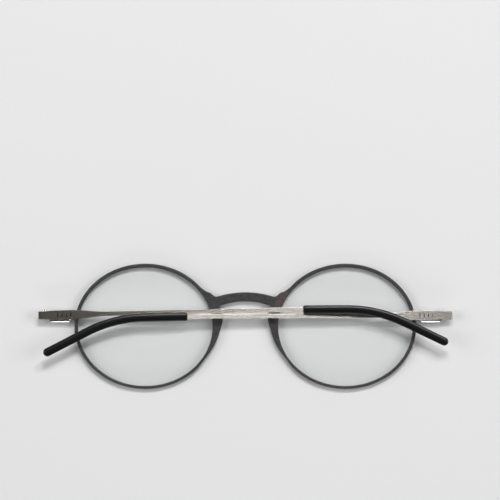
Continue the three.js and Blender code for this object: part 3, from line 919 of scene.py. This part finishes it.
plastic = frame_plastic()
clear = lens_plastic()
steel = temple_steel()
dark_steel = tick_steel()
polished = hinge_steel()
rubber = sleeve_rubber()


def paint_ticks(piece, place):
    """Gives the walls and floors of the engraved ticks their own darker finish."""
    back = place.inverted()
    face = BAND_INSIDE + BAND_THICKNESS
    shallow, deep = TICK_PAINTED
    first = TICK_FIRST_U - TICK_SPACING / 2
    last = first + TICKS * TICK_SPACING
    side = TICK_LENGTH / 2 + TICK_MARGIN
    for polygon in piece.data.polygons:
        u, v, w = (back @ polygon.center) / MM
        inside = first < abs(u) < last and abs(v) < side
        if inside and shallow < (face - w) / TICK_DEPTH < deep:
            polygon.material_index = 1


def add_front():
    add_piece(
        "front_moulding", front_moulding(), front_place, "front", "front_frame",
        [plastic])
    blank = lens()
    for side, sign in (("left", -1), ("right", 1)):
        add_piece(
            f"clear_lens_{side}", moved(side_of(blank, sign), sign * LENS_X, OPENING_RISE),
            front_place, "front", f"lens_{side}", [clear])


def add_hardware(side, sign):
    place = front_place @ Matrix.Translation((0, AXIS_Y * MM, 0))
    leaf = hinge_leaf() if sign > 0 else mirrored(hinge_leaf())
    add_piece(
        f"steel_leaf_{side}", leaf, place, "front", f"hinge_leaf_{side}",
        [polished])
    for where, x in RIVET_X.items():
        add_piece(
            f"rivet_{side}_{where}", moved(rivet(), sign * x), place, "front",
            f"leaf_rivet_{side}_{where}", [polished])


def add_temple(side, sign):
    body = f"{side}_temple"
    joint = joints[body]
    brow = sign * Vector(joint["axis"])
    tilt = math.atan2(-brow.x, brow.y)
    place = (
        Matrix.Translation(joint["pos_m"])
        @ Matrix.Rotation(tilt, 4, "Z")
        @ Matrix.Rotation(sign * FOLD_RISE, 4, "Y"))
    piece = add_piece(
        f"steel_band_{side}", side_of(band(), sign), place, body, f"temple_band_{side}",
        [steel, dark_steel])
    paint_ticks(piece, place)
    add_piece(
        f"rubber_sleeve_{side}", side_of(sleeve(), sign), place, body, f"temple_sleeve_{side}",
        [rubber], SLEEVE_SMOOTHING)
    add_piece(
        f"slotted_screw_{side}", side_of(screw(), sign), place, body, f"hinge_screw_{side}",
        [polished])


add_front()
for side, sign in (("left", -1), ("right", 1)):
    add_hardware(side, sign)
    add_temple(side, sign)


# ---- floor, light and camera ----

VIEW_WIDTH = 0.172
VIEW_CENTRE = (0.0016, 0.0161)
CAMERA_HEIGHT = 1.2
SENSOR_WIDTH = 36
CLIP_DISTANCES = (0.05, 20)
FLOOR_SIZE = 3.0
FLOOR_GAP = 0.02
# Height share and brightness of the world near the horizon and overhead.
WORLD_LOW = (0.06, 0.92)
WORLD_HIGH = (0.45, 0.06)
WORLD_STRENGTH = 0.55


def add_floor():
    half = FLOOR_SIZE / 2
    mesh = bpy.data.meshes.new("floor")
    corners = [(-half, -half, 0), (half, -half, 0), (half, half, 0), (-half, half, 0)]
    mesh.from_pydata(corners, [], [(0, 1, 2, 3)])
    mesh.materials.append(floor_paint())
    floor = bpy.data.objects.new("floor", mesh)
    floor.location.z = cad_box[0].z - FLOOR_GAP * MM
    bpy.context.scene.collection.objects.link(floor)


def add_light(name, place, target, size, watts, colour=(1, 1, 1)):
    light = bpy.data.lights.new(name, "AREA")
    light.shape = "RECTANGLE"
    light.size, light.size_y = size
    light.energy = watts
    light.color = colour
    lamp = bpy.data.objects.new(name, light)
    lamp.location = place
    direction = Vector(target) - Vector(place)
    lamp.rotation_euler = direction.to_track_quat("-Z", "Y").to_euler()
    lamp.visible_camera = False
    bpy.context.scene.collection.objects.link(lamp)


def add_world():
    """A pale room that is dark overhead, so that the steel shows the key lamp."""
    world = bpy.data.worlds.new("studio")
    world.use_nodes = True
    tree = world.node_tree
    background = tree.nodes["Background"]
    coordinates = tree.nodes.new("ShaderNodeTexCoord")
    split = tree.nodes.new("ShaderNodeSeparateXYZ")
    ramp = tree.nodes.new("ShaderNodeValToRGB")
    tree.links.new(coordinates.outputs["Generated"], split.inputs[0])
    tree.links.new(split.outputs["Z"], ramp.inputs["Fac"])
    tree.links.new(ramp.outputs["Color"], background.inputs["Color"])
    for element, (height, shade) in zip(ramp.color_ramp.elements, (WORLD_LOW, WORLD_HIGH)):
        element.position = height
        element.color = (shade, shade, shade, 1)
    background.inputs["Strength"].default_value = WORLD_STRENGTH
    bpy.context.scene.world = world


def add_camera():
    camera = bpy.data.cameras.new("camera")
    camera.sensor_width = SENSOR_WIDTH
    camera.lens = SENSOR_WIDTH * CAMERA_HEIGHT / VIEW_WIDTH
    camera.clip_start, camera.clip_end = CLIP_DISTANCES
    shot = bpy.data.objects.new("camera", camera)
    shot.location = (*VIEW_CENTRE, CAMERA_HEIGHT)
    bpy.context.scene.collection.objects.link(shot)
    bpy.context.scene.camera = shot


add_floor()
add_light("key", (0.05, 0.75, 1.15), (0, 0, 0), (0.32, 0.30), 6.6)
add_light("glint", (0.42, 0.80, 1.05), (0, 0, 0), (0.12, 0.12), 3.0)
add_light("side_left", (-1.25, 0.1, 1.0), (0, 0, 0), (0.9, 0.9), 8.5)
add_light("side_right", (1.25, 0.1, 1.0), (0, 0, 0), (0.9, 0.9), 8.5)
add_light("low_fill", (0, -1.1, 0.45), (0, 0, 0), (0.4, 0.15), 1.5)
add_world()
add_camera()
bpy.context.scene.view_settings.view_transform = "Standard"
